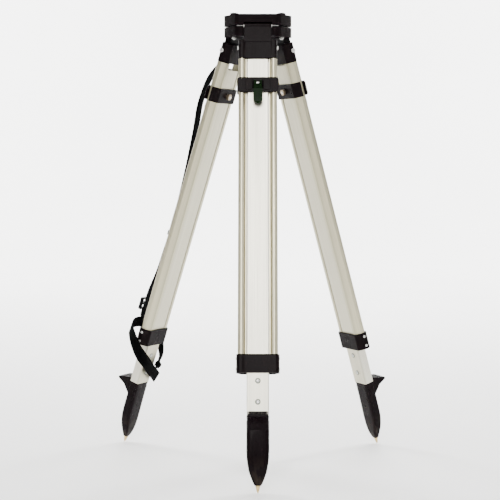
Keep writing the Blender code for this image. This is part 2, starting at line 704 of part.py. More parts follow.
def build():
    clear_scene()
    tripod = Tripod()
    head = tripod.head

    tripod.piece("head_plate", head_plate(), head, "casting")
    tripod.piece("hinge_retainer", hinge_retainer(), head, "casting")
    for number, turn in enumerate(CORNERS, 1):
        tripod.piece(f"corner_screw_{number}", corner_screw(turn), head, "steel")
    pivot = (0.0, ARM_PIVOT_Y, 0.0)
    arm_frame = tripod.frame("arm_frame", head, Matrix.Translation(pivot))
    tripod.piece("arm_pivot_screw", arm_pivot(), arm_frame, "steel")
    tripod.piece("centring_arm", centring_arm(), arm_frame, "steel")
    tripod.piece("screw_bush", screw_bush(), arm_frame, "steel", (0.0, -ARM_PIVOT_Y, 0.0))
    tripod.piece("centring_screw", centring_screw(), arm_frame, "brass", (0.0, -ARM_PIVOT_Y, 0.0))

    upper = {"hinge_block": (hinge_block(), "casting"), "block_bolt": (block_bolt(), "steel"),
             "rail_a": (rail(1), "aluminium"), "rail_b": (rail(-1), "aluminium"), "sleeve": (sleeve(), "casting")}
    lower = {"lower_tube": (tube(), "aluminium"), "clamp_plate": (clamp_plate(), "casting"),
             "clamp_saddle": (clamp_saddle(), "casting"), "clamp_bolt": (clamp_bolt(), "steel"),
             "clamp_nut": (clamp_nut(), "brass"), "foot": (foot(), "shoe"),
             "foot_screw_upper": (foot_screw(FOOT_SCREWS[0]), "steel"),
             "foot_screw_lower": (foot_screw(FOOT_SCREWS[1]), "steel"), "foot_point": (foot_point(), "brass")}
    lever = clamp_lever()
    pin = hinge_pin()

    for side, (direction, lean) in LEGS.items():
        stand = around(direction) @ Matrix.Translation((0.0, -HINGE_RADIUS, -HINGE_DROP))
        axis = tripod.frame(f"{side}_hinge_frame", head, stand)
        tripod.piece(f"{side}_hinge_pin", pin, axis, "steel")
        leg = tripod.frame(f"{side}_leg_frame", axis, Matrix.Rotation(math.radians(-lean), 4, "X"))
        for name, (mesh, finish) in upper.items():
            tripod.piece(f"{side}_{name}", mesh, leg, finish)
        extension = standing_length(lean) - CLOSED_LENGTH
        slide = tripod.frame(f"{side}_slide_frame", leg, Matrix.Translation((0.0, 0.0, -extension)))
        for name, (mesh, finish) in lower.items():
            tripod.piece(f"{side}_{name}", mesh, slide, finish)
        tripod.piece(f"{side}_clamp_lever", lever, slide, "lever", (0.0, LEVER_PIVOT_Y, -CLAMP_BOLT))
        if side == "left":
            tripod.piece("shoulder_strap", shoulder_strap(), leg, "webbing")
            tripod.piece("strap_buckle", strap_buckle(), leg, "buckle")
            tripod.piece("binding_strap", binding_strap(), leg, "webbing")


build()
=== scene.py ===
import json
import math

import bmesh
import bpy
from mathutils import Matrix, Vector

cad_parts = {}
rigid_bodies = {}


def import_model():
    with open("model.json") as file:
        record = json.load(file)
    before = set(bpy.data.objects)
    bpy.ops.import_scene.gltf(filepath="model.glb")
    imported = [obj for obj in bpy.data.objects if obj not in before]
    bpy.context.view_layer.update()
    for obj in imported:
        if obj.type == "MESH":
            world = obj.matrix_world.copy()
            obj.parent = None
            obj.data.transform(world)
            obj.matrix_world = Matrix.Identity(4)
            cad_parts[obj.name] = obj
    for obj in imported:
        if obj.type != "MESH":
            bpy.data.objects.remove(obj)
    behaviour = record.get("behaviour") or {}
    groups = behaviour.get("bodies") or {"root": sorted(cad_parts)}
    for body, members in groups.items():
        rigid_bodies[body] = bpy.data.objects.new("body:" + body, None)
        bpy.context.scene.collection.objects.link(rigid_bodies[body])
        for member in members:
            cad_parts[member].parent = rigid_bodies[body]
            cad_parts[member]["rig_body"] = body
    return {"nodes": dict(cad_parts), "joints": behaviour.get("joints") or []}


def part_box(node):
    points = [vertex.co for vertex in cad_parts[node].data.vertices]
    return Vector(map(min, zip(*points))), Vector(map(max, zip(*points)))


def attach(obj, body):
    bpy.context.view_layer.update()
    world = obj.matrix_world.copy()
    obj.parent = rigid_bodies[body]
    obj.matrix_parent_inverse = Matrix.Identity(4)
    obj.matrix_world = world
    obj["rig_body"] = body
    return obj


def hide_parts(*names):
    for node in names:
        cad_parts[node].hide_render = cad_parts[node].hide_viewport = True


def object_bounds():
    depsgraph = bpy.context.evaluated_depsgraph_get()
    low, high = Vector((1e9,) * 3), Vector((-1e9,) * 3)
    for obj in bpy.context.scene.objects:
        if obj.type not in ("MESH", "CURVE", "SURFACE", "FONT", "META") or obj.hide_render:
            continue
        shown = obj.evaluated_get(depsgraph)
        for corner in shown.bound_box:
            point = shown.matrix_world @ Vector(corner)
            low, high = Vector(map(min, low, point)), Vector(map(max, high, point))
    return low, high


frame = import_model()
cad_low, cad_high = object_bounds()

NODES = frame["nodes"]
JOINTS = {joint["name"]: joint for joint in frame["joints"]}
SIDES = ("front", "right", "left")

# ---------------------------------------------------------------- sizes, metres
CLAMP_BOLT = 0.1415        # stations are measured down the leg from its hinge axis
BLOCK_BOLT = 0.0528
RAIL_TOP, RAIL_END = 0.0789, 0.7800
TUBE_TOP, FOOT_TOP, FOOT_END = 0.0805, 0.8735, 1.0180
FOOT_SCREWS = (0.8005, 0.8450)
SLEEVE_SCREWS = (0.7525, 0.7750)
LEG_BACK = 0.0210
TUBE_HALF, TUBE_FRONT, TUBE_BACK, WALL = 0.0234, -0.0035, 0.0200, 0.0018
PLATE_FRONT = -0.0090
LEVER_PIVOT_Y, LEVER_LENGTH, LEVER_HALF, CAM_RADIUS = -0.0165, 0.0480, 0.0088, 0.0070
POINT_Y, POINT_NOSE, CLOSED_LENGTH = 0.0150, 0.0018, 1.0330
ARM_PIVOT_Y = 0.0425
GAP = 0.0003
STRAP_X, STRAP_HALF, STRAP_THICKNESS = -0.0270, 0.0120, 0.0016


# ---------------------------------------------------------------- places, from the frame
def leg_matrix(side):
    across = -Vector(JOINTS[f"{side}_leg_fold"]["axis"])
    up = -Vector(JOINTS[f"{side}_leg_slide"]["axis"])
    inward = up.cross(across)
    turn = Matrix((across, inward, up)).transposed().to_4x4()
    return Matrix.Translation(JOINTS[f"{side}_leg_fold"]["pos_m"]) @ turn


def extension(side):
    down = Vector(JOINTS[f"{side}_leg_slide"]["axis"])
    reach = Vector(JOINTS[f"{side}_lever_open"]["pos_m"]) - Vector(JOINTS[f"{side}_leg_fold"]["pos_m"])
    return reach.dot(down) - CLAMP_BOLT


UPPER = {side: leg_matrix(side) for side in SIDES}
LOWER = {side: UPPER[side] @ Matrix.Translation((0, 0, -extension(side))) for side in SIDES}
HEAD_AXIS = Vector(JOINTS["arm_swing"]["pos_m"]) - Vector((0, ARM_PIVOT_Y, 0))
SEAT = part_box("centring_screw")[1].z + 0.0010
HEAD = Matrix.Translation((HEAD_AXIS.x, HEAD_AXIS.y, SEAT))


# ---------------------------------------------------------------- mesh helpers
def to_mesh(bm):
    bmesh.ops.recalc_face_normals(bm, faces=bm.faces)
    mesh = bpy.data.meshes.new("piece")
    bm.to_mesh(mesh)
    bm.free()
    return mesh


def evaluated(mesh, *modifiers):
    """The mesh after the modifiers, each (type, {setting: value})."""
    item = bpy.data.objects.new("work", mesh)
    bpy.context.scene.collection.objects.link(item)
    for kind, settings in modifiers:
        modifier = item.modifiers.new(kind, kind)
        for name, value in settings.items():
            setattr(modifier, name, value)
    depsgraph = bpy.context.evaluated_depsgraph_get()
    made = bpy.data.meshes.new_from_object(item.evaluated_get(depsgraph))
    bpy.data.objects.remove(item, do_unlink=True)
    return made


def smooth(mesh):
    mesh.polygons.foreach_set("use_smooth", [True] * len(mesh.polygons))
    return mesh


def polished(mesh, width, segments=2, angle=28.0):
    """Rounds every edge sharper than the angle and shades the flats flat."""
    bevel = {"width": width, "segments": segments, "limit_method": "ANGLE",
             "angle_limit": math.radians(angle), "use_clamp_overlap": True}
    return evaluated(smooth(mesh), ("BEVEL", bevel), ("WEIGHTED_NORMAL", {"keep_sharp": True}))


def cut(mesh, tool, operation="DIFFERENCE"):
    other = bpy.data.objects.new("tool", tool)
    bpy.context.scene.collection.objects.link(other)
    made = evaluated(mesh, ("BOOLEAN", {"object": other, "operation": operation, "solver": "EXACT"}))
    bpy.data.objects.remove(other, do_unlink=True)
    return made


def merged(*meshes):
    bm = bmesh.new()
    for mesh in meshes:
        bm.from_mesh(mesh)
    mesh = bpy.data.meshes.new("piece")
    bm.to_mesh(mesh)
    bm.free()
    return smooth(mesh)


def moved(mesh, matrix):
    mesh = mesh.copy()
    mesh.transform(matrix)
    return mesh


def softened(loop, radius, steps=3):
    """A closed outline whose sharper corners are eased; gentle ones are left alone."""
    eased = []
    for index, corner in enumerate(loop):
        corner = Vector(corner)
        before = Vector(loop[index - 1]) - corner
        after = Vector(loop[(index + 1) % len(loop)]) - corner
        if math.pi - before.angle(after) < math.radians(25):
            eased.append(tuple(corner))
            continue
        start = corner + before.normalized() * min(radius, 0.4 * before.length)
        end = corner + after.normalized() * min(radius, 0.4 * after.length)
        for step in range(steps + 1):
            t = step / steps
            eased.append(tuple(start * (1 - t) ** 2 + corner * 2 * t * (1 - t) + end * t * t))
    return eased


def prism(loops, low, high, matrix=None):
    """Outlines, the first one outside and the others holes, drawn out from low to high."""
    bm = bmesh.new()
    for loop in loops:
        verts = [bm.verts.new((x, y, low)) for x, y in loop]
        for first, second in zip(verts, verts[1:] + verts[:1]):
            bm.edges.new((first, second))
    bmesh.ops.triangle_fill(bm, use_beauty=True, edges=bm.edges[:])
    raised = bmesh.ops.extrude_face_region(bm, geom=bm.faces[:])["geom"]
    lifted = [item for item in raised if isinstance(item, bmesh.types.BMVert)]
    bmesh.ops.translate(bm, verts=lifted, vec=(0, 0, high - low))
    bmesh.ops.dissolve_limit(bm, angle_limit=math.radians(0.5), verts=bm.verts[:], edges=bm.edges[:])
    mesh = to_mesh(bm)
    if matrix:
        mesh.transform(matrix)
    return mesh


def block(low, high):
    outline = [(low[0], low[1]), (high[0], low[1]), (high[0], high[1]), (low[0], high[1])]
    return prism([outline], low[2], high[2])


def loft(rings):
    """A skin over equal rings of points, closed at both ends."""
    bm = bmesh.new()
    rows = [[bm.verts.new(point) for point in ring] for ring in rings]
    for upper, lower in zip(rows, rows[1:]):
        for index in range(len(upper)):
            following = (index + 1) % len(upper)
            bm.faces.new((upper[index], upper[following], lower[following], lower[index]))
    bm.faces.new(rows[0])
    bm.faces.new(rows[-1])
    return smooth(to_mesh(bm))


def turned(profile, segments=32, flutes=0, depth=0.0, band=(0.0, 0.0)):
    """(radius, height) pairs spun about Z; inside the band the radius ripples into flutes."""
    rings = []
    for radius, height in profile:
        ring = []
        for index in range(segments):
            angle = 2 * math.pi * index / segments
            ripple = depth * math.cos(flutes * angle) if band[0] <= height <= band[1] else 0.0
            reach = max(radius, 0.00005) + ripple
            ring.append((reach * math.cos(angle), reach * math.sin(angle), height))
        rings.append(ring)
    return loft(rings)


def arc(centre, radius, start, end, steps):
    angles = [math.radians(start + (end - start) * step / steps) for step in range(steps + 1)]
    return [(centre[0] + radius * math.cos(a), centre[1] + radius * math.sin(a)) for a in angles]


def rounded_box(half_x, low_y, high_y, radius, steps=5):
    loop = []
    corners = ((half_x, high_y, 0), (-half_x, high_y, 90), (-half_x, low_y, 180), (half_x, low_y, 270))
    for x, y, start in corners:
        centre = (x - math.copysign(radius, x), y - radius if y == high_y else y + radius)
        loop += arc(centre, radius, start, start + 90, steps)
    return loop


# an outline drawn as (outward depth, height) becomes one that runs across the leg
SIDEWAYS = Matrix(((0, 0, 1, 0), (1, 0, 0, 0), (0, 1, 0, 0), (0, 0, 0, 1)))
# an outline drawn as (across, height) becomes one that runs through the leg
FACING = Matrix(((1, 0, 0, 0), (0, 0, -1, 0), (0, 1, 0, 0), (0, 0, 0, 1)))
ALONG_X = Matrix.Rotation(math.radians(90), 4, "Y")
OUTWARD = Matrix.Rotation(math.radians(90), 4, "X")


def local_copy(node, matrix):
    """A CAD node's shape in the coordinates of the given frame, with its flat faces made whole."""
    bm = bmesh.new()
    bm.from_mesh(NODES[node].data)
    bmesh.ops.transform(bm, matrix=matrix.inverted(), verts=bm.verts)
    bmesh.ops.remove_doubles(bm, verts=bm.verts, dist=1e-5)
    bmesh.ops.dissolve_limit(bm, angle_limit=math.radians(0.6), verts=bm.verts[:], edges=bm.edges[:])
    return to_mesh(bm)


def between(first, second, third, fourth, t):
    return 0.5 * ((2 * second) + (third - first) * t + (2 * first - 5 * second + 4 * third - fourth) * t * t
                  + (3 * second - first - 3 * third + fourth) * t ** 3)


def smooth_path(points, per_span):
    points = [Vector(point) for point in points]
    ends = [points[0] * 2 - points[1]] + points + [points[-1] * 2 - points[-2]]
    path = [between(a, b, c, d, step / per_span) for a, b, c, d in zip(ends, ends[1:], ends[2:], ends[3:])
            for step in range(per_span)]
    return path + [points[-1]]


# ---------------------------------------------------------------- materials
class Shader:
    """Small shorthand for building a node tree."""

    def __init__(self, name):
        self.material = bpy.data.materials.new(name)
        self.material.use_nodes = True
        self.tree = self.material.node_tree
        self.shader = self.tree.nodes["Principled BSDF"]
        self.coords = self.tree.nodes.new("ShaderNodeTexCoord")
        self.spot = self.add("Attribute", {"attribute_name": "spot"}).outputs["Vector"]

    def add(self, kind, settings=None, **inputs):
        node = self.tree.nodes.new("ShaderNode" + kind)
        for name, value in (settings or {}).items():
            setattr(node, name, value)
        for name, value in inputs.items():
            self.feed(node.inputs[int(name[1:]) if name[0] == "_" else name], value)
        return node

    def feed(self, socket, value):
        if isinstance(value, bpy.types.NodeSocket):
            self.tree.links.new(value, socket)
        else:
            socket.default_value = value

    def noise(self, stretch, detail=4.0, source=None):
        mapping = self.add("Mapping", Vector=source or self.spot, Scale=stretch)
        return self.add("TexNoise", Vector=mapping.outputs[0], Scale=1.0, Detail=detail).outputs[0]

    def spread(self, value, low, high, start=0.3, end=0.7):
        node = self.add("MapRange", _0=value, _1=start, _2=end, _3=low, _4=high)
        return node.outputs[0]

    def mix(self, amount, first, second):
        node = self.add("Mix", {"data_type": "RGBA"})
        self.feed(node.inputs[0], amount)
        self.feed(node.inputs[6], first if isinstance(first, bpy.types.NodeSocket) else (*first, 1.0))
        self.feed(node.inputs[7], second if isinstance(second, bpy.types.NodeSocket) else (*second, 1.0))
        return node.outputs[2]

    def maths(self, operation, first, second=0.0):
        return self.add("Math", {"operation": operation}, _0=first, _1=second).outputs[0]

    def bump(self, height, distance, strength=1.0):
        node = self.add("Bump", Strength=strength, Distance=distance, Height=height)
        self.tree.links.new(node.outputs[0], self.shader.inputs["Normal"])

    def finish(self, colour, roughness, **rest):
        self.feed(self.shader.inputs["Base Color"], colour)
        self.feed(self.shader.inputs["Roughness"], roughness)
        for name, value in rest.items():
            self.feed(self.shader.inputs[name.replace("_", " ")], value)
        return self.material


# how far in from the hinge axis the painted shade on a leg's inner faces sets in, and where it is full
INNER_SHADE_FROM, INNER_SHADE_FULL = 0.0150, 0.0196
WEFT_PITCH, WARP_PITCH = 0.0011, 0.0016
STITCH_LINE, STITCH_HALF, STITCHES_PER_METRE, STITCH_SHARE = 0.0092, 0.0004, 250.0, 0.62


def metal(name, light, dark, roughness, streak, grain, relief, inside=None):
    """Brushed or cast metal: broad tone shifts, streaks that follow the piece and a fine relief.
    The faces turned to the middle of the tripod may get painted shade, a darker tone of their own."""
    s = Shader(name)
    streaks = s.noise(streak, 5.0)
    broad = s.noise((9, 9, 4), 2.0)
    fine = s.noise(grain, 3.0)
    tone = s.mix(s.spread(streaks, 0.0, 1.0), light, dark)
    tone = s.mix(s.spread(broad, 0.0, 0.35), tone, dark)
    # painted shade: faces lying further in than the given depth darken towards the inside colour
    if inside:
        depth = s.add("SeparateXYZ", Vector=s.spot).outputs[1]
        inner_shade_share = s.spread(depth, 0.0, 1.0, INNER_SHADE_FROM, INNER_SHADE_FULL)
        tone = s.mix(inner_shade_share, tone, s.mix(s.spread(streaks, 0.0, 0.5), inside, dark))
    rough = s.maths("ADD", s.spread(streaks, roughness - 0.06, roughness + 0.06), s.spread(fine, -0.03, 0.05))
    s.bump(s.maths("ADD", streaks, fine), relief)
    return s.finish(tone, rough, Metallic=1.0)


def cast(name, colour, worn, roughness, coat):
    """Painted casting: orange-peel relief, faint scuffs and a thin gloss."""
    s = Shader(name)
    peel = s.noise((900, 900, 900), 2.0)
    scuff = s.noise((60, 60, 25), 6.0)
    marks = s.spread(scuff, 0.0, 0.6, 0.58, 0.78)
    s.bump(s.maths("ADD", peel, s.maths("MULTIPLY", scuff, 0.6)), 0.00012)
    return s.finish(s.mix(marks, colour, worn), s.spread(scuff, roughness - 0.06, roughness + 0.12),
                    Coat_Weight=coat, Coat_Roughness=0.12, Specular_IOR_Level=0.025)


def shoe_material():
    """Glossy moulded shoe, dusty towards its point."""
    s = Shader("shoe")
    scuff = s.noise((70, 70, 30), 6.0)
    speck = s.noise((500, 500, 500), 3.0)
    height = s.add("SeparateXYZ", Vector=s.spot).outputs[2]
    low = s.spread(height, 0.0, 1.0, -0.955, -FOOT_END)
    dust = s.maths("MULTIPLY", low, s.spread(scuff, 0.0, 0.55, 0.42, 0.68))
    colour = s.mix(s.spread(speck, 0.0, 0.5), (0.0035, 0.0018, 0.0025), (0.0065, 0.0034, 0.0044))
    s.bump(s.maths("ADD", speck, scuff), 0.00015)
    rough = s.maths("ADD", s.spread(scuff, 0.20, 0.34), s.maths("MULTIPLY", dust, 0.4))
    return s.finish(s.mix(dust, colour, (0.045, 0.033, 0.025)), rough, Coat_Weight=0.04, Coat_Roughness=0.06,
                    Specular_IOR_Level=0.03)


def plastic(name, colour, lighter, roughness):
    """Moulded plastic: cloudy tone and a very fine grain."""
    s = Shader(name)
    cloud = s.noise((120, 120, 120), 4.0)
    grain = s.noise((1400, 1400, 1400), 2.0)
    s.bump(grain, 0.00006)
    tone = s.mix(s.spread(cloud, 0.0, 0.8), colour, lighter)
    rough = s.spread(cloud, roughness - 0.05, roughness + 0.08)
    return s.finish(tone, rough, Coat_Weight=0.02, Coat_Roughness=0.15, Specular_IOR_Level=0.03)


def webbing_material():
    """Woven tape with ribs both ways and a stitched line at each edge, from the strap's coordinates."""
    s = Shader("webbing")
    parts = s.add("SeparateXYZ", Vector=s.coords.outputs["UV"])
    across, along = parts.outputs[0], parts.outputs[1]
    weft = s.maths("SINE", s.maths("MULTIPLY", along, 2 * math.pi / WEFT_PITCH))
    warp = s.maths("SINE", s.maths("MULTIPLY", across, 2 * math.pi / WARP_PITCH))
    weave = s.maths("MULTIPLY", weft, warp)
    off_line = s.maths("ABSOLUTE", s.maths("SUBTRACT", s.maths("ABSOLUTE", across), STITCH_LINE))
    line = s.maths("LESS_THAN", off_line, STITCH_HALF)
    dash = s.maths("LESS_THAN", s.maths("FRACT", s.maths("MULTIPLY", along, STITCHES_PER_METRE)), STITCH_SHARE)
    stitch = s.maths("MULTIPLY", line, dash)
    fuzz = s.noise((420, 420, 420), 5.0)
    cloth = s.mix(s.spread(weave, 0.0, 1.0, -1.0, 1.0), (0.0003, 0.0003, 0.0004), (0.0016, 0.0016, 0.0018))
    cloth = s.mix(s.spread(fuzz, 0.0, 0.3), cloth, (0.0034, 0.0033, 0.0036))
    s.bump(s.maths("ADD", weave, s.maths("MULTIPLY", stitch, 2.0)), 0.00020)
    tone = s.mix(stitch, cloth, (0.0075, 0.0072, 0.0078))
    return s.finish(tone, s.spread(fuzz, 0.72, 0.92), Specular_IOR_Level=0.02)


def floor_material():
    """Pale matt board with a faint cloud."""
    s = Shader("floor")
    cloud = s.noise((1.6, 1.6, 1.6), 5.0, s.coords.outputs["Object"])
    speck = s.noise((240, 240, 240), 3.0, s.coords.outputs["Object"])
    tone = s.mix(s.spread(cloud, 0.0, 1.0), (0.93, 0.93, 0.925), (0.96, 0.96, 0.955))
    s.bump(speck, 0.0002, 0.3)
    return s.finish(tone, s.spread(speck, 0.62, 0.74))


# the last colour of the rails' and the tube's finishes is painted shade for the faces turned to the middle of
# the tripod
ALUMINIUM = metal("aluminium", (0.58, 0.540, 0.390), (0.49, 0.455, 0.325), 0.34,
                  (700, 700, 3), (900, 900, 120), 0.00003, (0.40, 0.375, 0.270))
PANEL = metal("panel", (0.77, 0.745, 0.640), (0.69, 0.665, 0.565), 0.40,
              (900, 900, 3), (1100, 1100, 150), 0.00003, (0.42, 0.395, 0.290))
STEEL = metal("steel", (0.66, 0.66, 0.64), (0.50, 0.50, 0.48), 0.28,
              (500, 500, 500), (1600, 1600, 1600), 0.00002)
WASHER = metal("washer", (0.17, 0.20, 0.16), (0.11, 0.13, 0.10), 0.42,
               (400, 400, 400), (1500, 1500, 1500), 0.00003)
BRASS = metal("brass", (0.78, 0.60, 0.30), (0.56, 0.40, 0.18), 0.30,
              (300, 300, 300), (1500, 1500, 1500), 0.00003)
NUT = metal("nut", (0.46, 0.38, 0.28), (0.30, 0.24, 0.17), 0.34,
            (300, 300, 300), (1500, 1500, 1500), 0.00003)
CASTING = cast("casting", (0.0040, 0.0022, 0.0028), (0.0120, 0.0070, 0.0068), 0.30, 0.03)
SHOE = shoe_material()
LEVER = plastic("lever", (0.0010, 0.0062, 0.0008), (0.0030, 0.0135, 0.0022), 0.30)
BUCKLE = plastic("buckle", (0.0016, 0.0016, 0.0020), (0.0045, 0.0045, 0.0050), 0.26)
KEEPER = plastic("keeper", (0.055, 0.070, 0.055), (0.090, 0.105, 0.085), 0.45)
WEBBING = webbing_material()


# ---------------------------------------------------------------- placing
def place(name, mesh, matrix, finish, nodes=(), body=None):
    """Puts a shape into the row frame; its finish follows the shape's own coordinates, kept as "spot"."""
    mesh = mesh.copy()
    spots = mesh.attributes.new("spot", "FLOAT_VECTOR", "POINT")
    spots.data.foreach_set("vector", [number for vert in mesh.vertices for number in vert.co])
    mesh.transform(matrix)
    mesh.materials.clear()
    mesh.materials.append(finish)
    item = bpy.data.objects.new(name, mesh)
    bpy.context.scene.collection.objects.link(item)
    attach(item, body or NODES[nodes[0]]["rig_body"])
    if nodes:
        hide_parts(*nodes)
    return item


def on_legs(label, mesh, frames, finish, node=None, beside=None):
    """One shape on all three legs: it stands for a CAD node, or rides beside one."""
    for side in SIDES:
        nodes = (f"{side}_{node}",) if node else ()
        body = None if node else NODES[f"{side}_{beside}"]["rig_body"]
        place(f"{side}_{label}_look", mesh, frames[side], finish, nodes, body)


# ---------------------------------------------------------------- small hardware
def cross_recess(radius, depth, top):
    arms = [block((-radius, -0.22 * radius, top - depth), (radius, 0.22 * radius, top + 0.002)),
            block((-0.22 * radius, -radius, top - depth), (0.22 * radius, radius, top + 0.002))]
    return cut(arms[0], arms[1], "UNION")


def pan_head(radius, height):
    """A domed cross-head seen from outside, its seat at z = 0."""
    dome = [(0.0, -0.0008), (radius * 0.96, -0.0008), (radius, 0.0002), (radius, 0.35 * height),
            (0.93 * radius, 0.66 * height), (0.72 * radius, 0.88 * height), (0.40 * radius, height),
            (0.0, height)]
    head = cut(turned(dome, 28), cross_recess(0.52 * radius, 0.6 * height, height))
    return polished(head, 0.00012, 1, 40)


def washer_ring(outer, inner, thickness):
    ring = prism([arc((0, 0), outer, 0, 350, 35), arc((0, 0), inner, 0, 345, 23)], 0.0, thickness)
    return polished(ring, 0.00025, 2)


def on_both_sides(head, x, y, stations):
    """Copies of a screw head on both narrow sides of a leg, facing away from it."""
    return merged(*[moved(head, Matrix.Translation((sign * x, y, -station))
                          @ Matrix.Rotation(math.radians(90 * sign), 4, "Y"))
                    for sign in (-1, 1) for station in stations])


def outward_at(x, y, station):
    return Matrix.Translation((x, y, -station)) @ OUTWARD


def inward_at(x, y, station):
    return Matrix.Translation((x, y, -station)) @ OUTWARD.inverted()


# ---------------------------------------------------------------- legs: rails and tube
CROWN_X, CROWN_Y = 0.0353, 0.0028          # middle of the rail's round outer side
CROWN_ACROSS, CROWN_OUT = 0.0077, 0.0078   # its radii across the leg and out of it
GROOVES, GROOVE_REACH = (-28.0, -62.0, -118.0), 2.2   # degrees round the crown
GROOVE_DEPTH = 0.00030


def rail_outline():
    """Flat back, slanted side, grooved round crown and a lip beside the tube."""
    crown = []
    for x, y in arc((CROWN_X, CROWN_Y), 1.0, 0.0, -150.0, 45):
        angle = math.degrees(math.atan2(y - CROWN_Y, x - CROWN_X))
        groove = GROOVE_DEPTH if any(abs(angle - line) < GROOVE_REACH for line in GROOVES) else 0.0
        crown.append((CROWN_X + (x - CROWN_X) * (CROWN_ACROSS - groove),
                      CROWN_Y + (y - CROWN_Y) * (CROWN_OUT - groove)))
    lip = [(0.0276, 0.0006), (0.0239, 0.0006)]
    return crown + softened(lip + [(0.0239, LEG_BACK), (0.0335, LEG_BACK), (0.0430, 0.0080)], 0.0012)[2:-1]


def inner_outline():
    """The hollow of a rail."""
    crown = [(CROWN_X + 0.0059 * math.cos(math.radians(a)), CROWN_Y + 0.0060 * math.sin(math.radians(a)))
             for a in range(0, -151, -15)]
    return crown + [(0.0257, 0.0024), (0.0257, LEG_BACK - WALL), (0.0326, LEG_BACK - WALL), (0.0411, 0.0073)]


def rail(sign):
    loops = [[(sign * x, y) for x, y in outline] for outline in (rail_outline(), inner_outline())]
    return polished(prism(loops, -RAIL_END, -RAIL_TOP), 0.0002, 1, 50)


on_legs("rail_a", rail(1), UPPER, ALUMINIUM, "rail_a")
on_legs("rail_b", rail(-1), UPPER, ALUMINIUM, "rail_b")
TUBE_LOOPS = [rounded_box(TUBE_HALF, TUBE_FRONT, TUBE_BACK, 0.0018),
              rounded_box(TUBE_HALF - WALL, TUBE_FRONT + WALL, TUBE_BACK - WALL, 0.0006, 2)]
on_legs("lower_tube", polished(prism(TUBE_LOOPS, -FOOT_TOP + GAP, -TUBE_TOP), 0.0003, 2, 50), LOWER, PANEL,
        "lower_tube")

# ---------------------------------------------------------------- legs: castings
on_legs("hinge_block", polished(local_copy("front_hinge_block", UPPER["front"]), 0.0010, 3), UPPER, CASTING,
        "hinge_block")
on_legs("sleeve", polished(local_copy("front_sleeve", UPPER["front"]), 0.0009, 3), UPPER, CASTING,
        "sleeve")
on_legs("clamp_saddle", polished(local_copy("front_clamp_saddle", LOWER["front"]), 0.0008, 3), LOWER, CASTING,
        "clamp_saddle")


def plate_pads():
    """The two raised pads on the outer face of a clamp plate."""
    pads = []
    for sign in (-1, 1):
        outline = softened([(sign * 0.0125, -0.1300), (sign * 0.0275, -0.1300), (sign * 0.0275, -0.1545),
                            (sign * 0.0125, -0.1545)], 0.0030)
        pad = prism([outline], -PLATE_FRONT - 0.0005, -PLATE_FRONT + 0.0012, FACING)
        pads.append(polished(pad, 0.0009, 3))
    return pads


PLATE = polished(local_copy("front_clamp_plate", LOWER["front"]), 0.0009, 3)
on_legs("clamp_plate", merged(PLATE, *plate_pads()), LOWER, CASTING, "clamp_plate")

# ---------------------------------------------------------------- legs: pins, bolts and screws
PIN_HALF, PIN_RADIUS, PIN_CHAMFER = 0.047, 0.004, 0.0008
PIN = turned([(0.0, -PIN_HALF), (PIN_RADIUS - PIN_CHAMFER, -PIN_HALF),
              (PIN_RADIUS, -PIN_HALF + PIN_CHAMFER), (PIN_RADIUS, PIN_HALF - PIN_CHAMFER),
              (PIN_RADIUS - PIN_CHAMFER, PIN_HALF), (0.0, PIN_HALF)], 28)
on_legs("hinge_pin", polished(moved(PIN, ALONG_X), 0.0002, 1, 40), UPPER, STEEL, "hinge_pin")

BLOCK_HALF, SLEEVE_HALF = 0.0434, 0.0460   # from the leg's middle to the narrow sides of these castings
BLOCK_HEADS = on_both_sides(pan_head(0.0050, 0.0022), BLOCK_HALF + GAP, 0.001, (BLOCK_BOLT,))
on_legs("block_bolt", BLOCK_HEADS, UPPER, STEEL, "block_bolt")
SLEEVE_HEADS = on_both_sides(pan_head(0.0032, 0.0012), SLEEVE_HALF, 0.0048, SLEEVE_SCREWS)
on_legs("sleeve_screws", SLEEVE_HEADS, UPPER, STEEL, beside="sleeve")

FOOT_HEAD = pan_head(0.0042, 0.0020)
RING = washer_ring(0.0060, 0.0040, 0.0008)
for label, station in (("foot_screw_upper", FOOT_SCREWS[0]), ("foot_screw_lower", FOOT_SCREWS[1])):
    outside = outward_at(0, TUBE_FRONT, station)
    inside = inward_at(0, TUBE_BACK, station)
    on_legs(label, merged(moved(FOOT_HEAD, outside), moved(FOOT_HEAD, inside)), LOWER, STEEL, label)
    on_legs(label + "_washer", merged(moved(RING, outside), moved(RING, inside)), LOWER, WASHER,
            beside="lower_tube")


# ---------------------------------------------------------------- legs: clamp
def clamp_bolt():
    """The bolt through the leg and the cross pin that the lever turns on."""
    shank = moved(turned([(0.0, 0.0), (0.0030, 0.0), (0.0030, 0.0485), (0.0024, 0.0493), (0.0, 0.0493)], 24),
                  inward_at(0, LEVER_PIVOT_Y, CLAMP_BOLT))
    cross = moved(turned([(0.0, -0.0082), (0.0027, -0.0082), (0.0032, -0.0076), (0.0032, 0.0076),
                          (0.0027, 0.0082), (0.0, 0.0082)], 24),
                  Matrix.Translation((0, LEVER_PIVOT_Y, -CLAMP_BOLT)) @ ALONG_X)
    return merged(shank, cross)


def clamp_nut():
    """A hexagon nut with both ends of its corners turned off."""
    hexagon = arc((0, 0), 0.0075, 0, 300, 5)
    nut = prism([hexagon, arc((0, 0), 0.0033, 0, 345, 23)], 0.0, 0.0070)
    cone = turned([(0.0, -0.001), (0.0066, -0.001), (0.0078, 0.0009), (0.0078, 0.0061), (0.0066, 0.0080),
                   (0.0, 0.0080)], 36)
    return moved(polished(cut(nut, cone, "INTERSECT"), 0.0002, 1, 35), inward_at(0, 0.0246, CLAMP_BOLT))


GRIP_HALF = 0.0100         # the grip widens below the plate's ears


